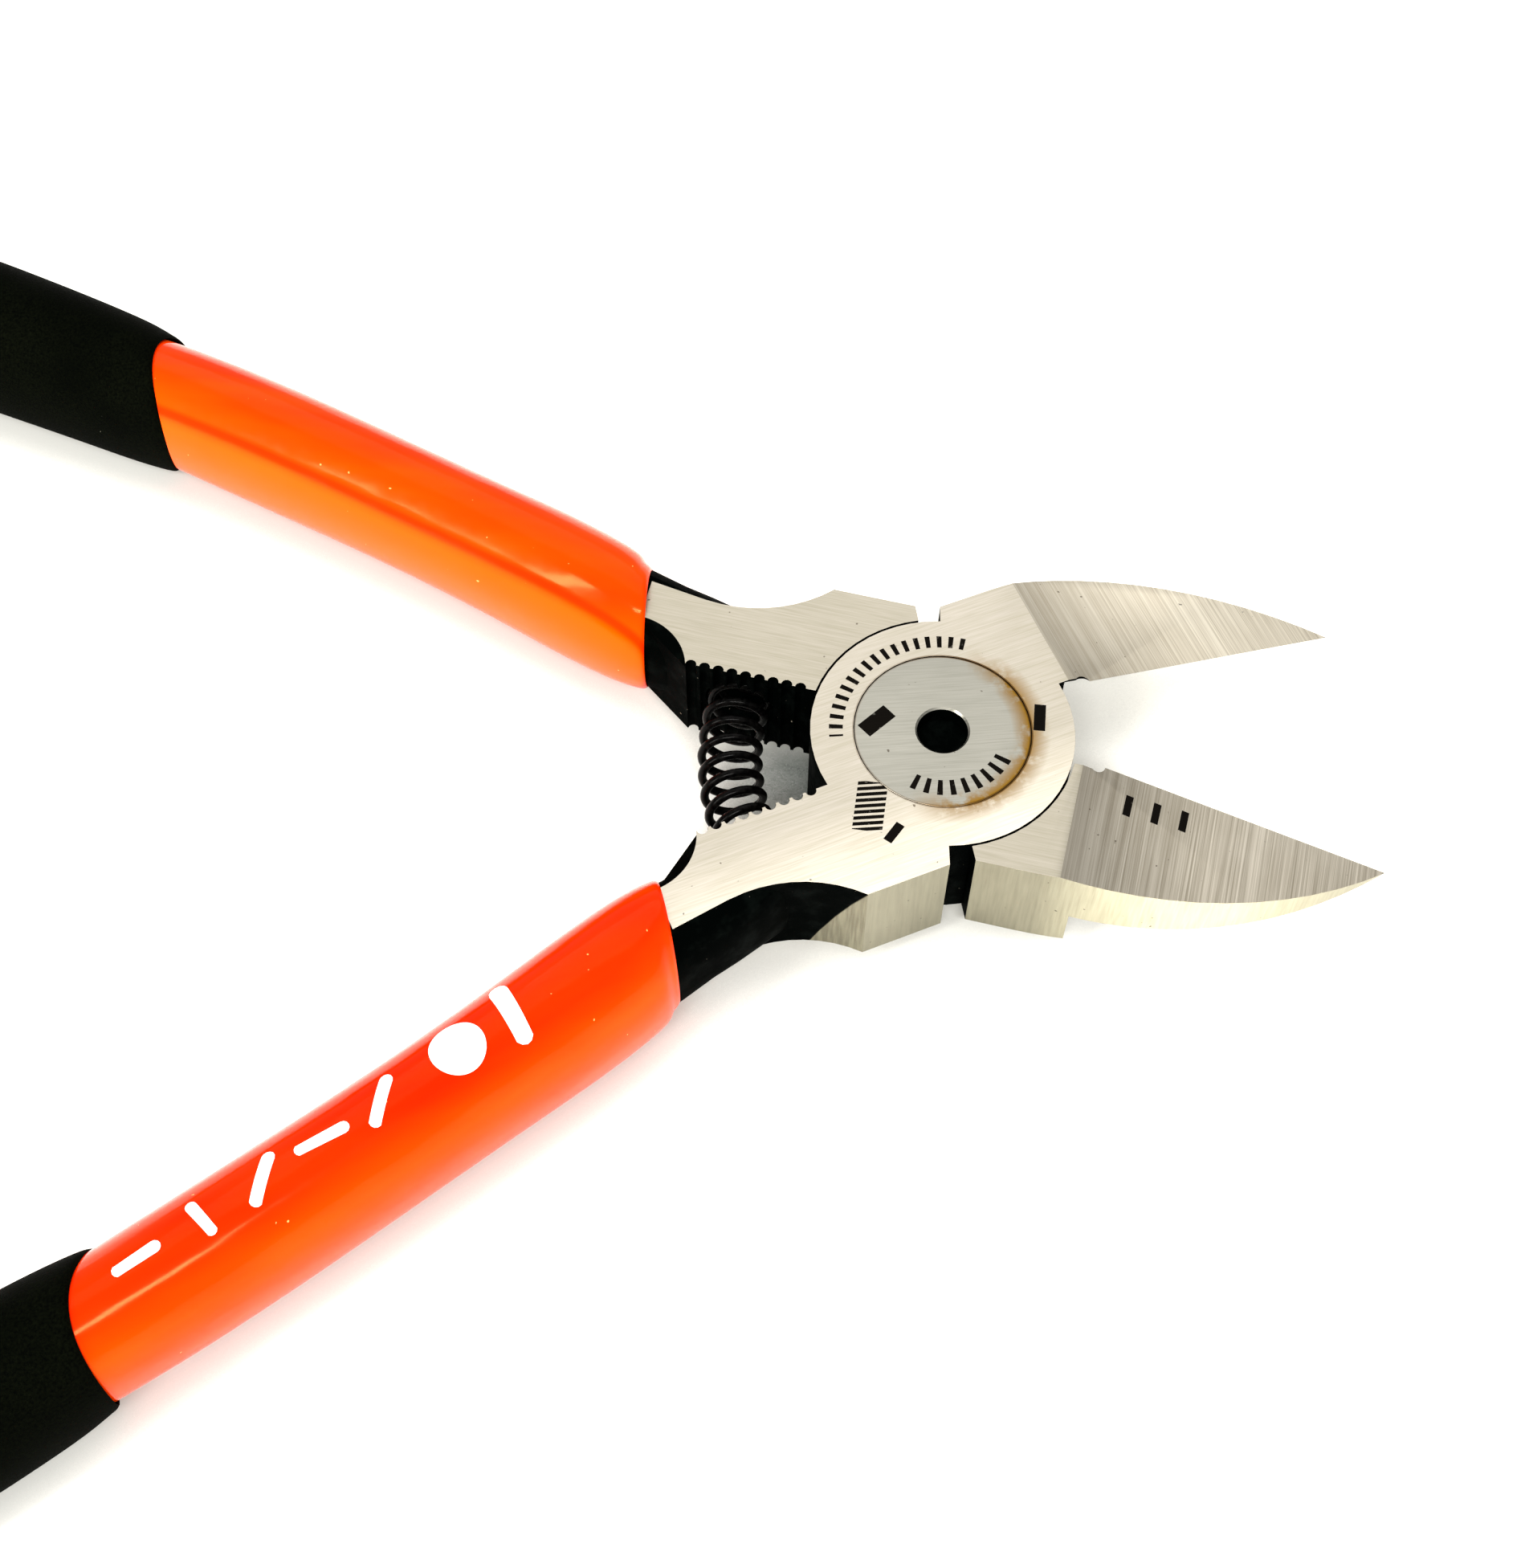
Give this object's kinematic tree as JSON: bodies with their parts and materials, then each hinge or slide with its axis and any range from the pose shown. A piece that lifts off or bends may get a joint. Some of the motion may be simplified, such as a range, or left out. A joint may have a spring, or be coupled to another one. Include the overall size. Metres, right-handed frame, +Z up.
{
  "type": "diagonal cutting pliers",
  "caption": "Spring-opened diagonal cutting pliers: flush-cutting steel jaws on a round riveted lap joint, glossy orange sleeves and black soft grips on bowed handles.",
  "frame": {"origin": "on the pivot axis, at the height of the surface the pliers lie on", "axes": "+X along the bisector of the open blades toward the tips, +Y across toward the front half's jaw, +Z up along the pivot axis"},
  "size_m": [0.1359, 0.1234, 0.0112],
  "materials": {
    "ground_steel": "ground bright on the faces and outer flats, black oxide on the scooped sides and the inner walls",
    "rivet_steel": "ground flush with the head",
    "black_spring_steel": "blackened wire, satin",
    "orange_sleeve": "smooth dipped vinyl, glossy",
    "black_grip": "soft-touch, fine grain, matt"
  },
  "bodies": {
    "back_body": {"back_half": "ground_steel", "pivot_rivet": "rivet_steel", "return_spring": "black_spring_steel", "back_sleeve": "orange_sleeve", "back_grip": "black_grip"},
    "front_body": {"front_half": "ground_steel", "front_sleeve": "orange_sleeve", "front_grip": "black_grip"}
  },
  "joints": [
    {"name": "pivot", "type": "hinge", "parent": "back_body", "child": "front_body", "pos_m": [0, 0, 0.0056], "axis": [0, 0, 1], "range_deg": [-36.2, 9.4], "stiffness_Nm_per_rad": 0.6, "deforming": ["return_spring"]}
  ]
}
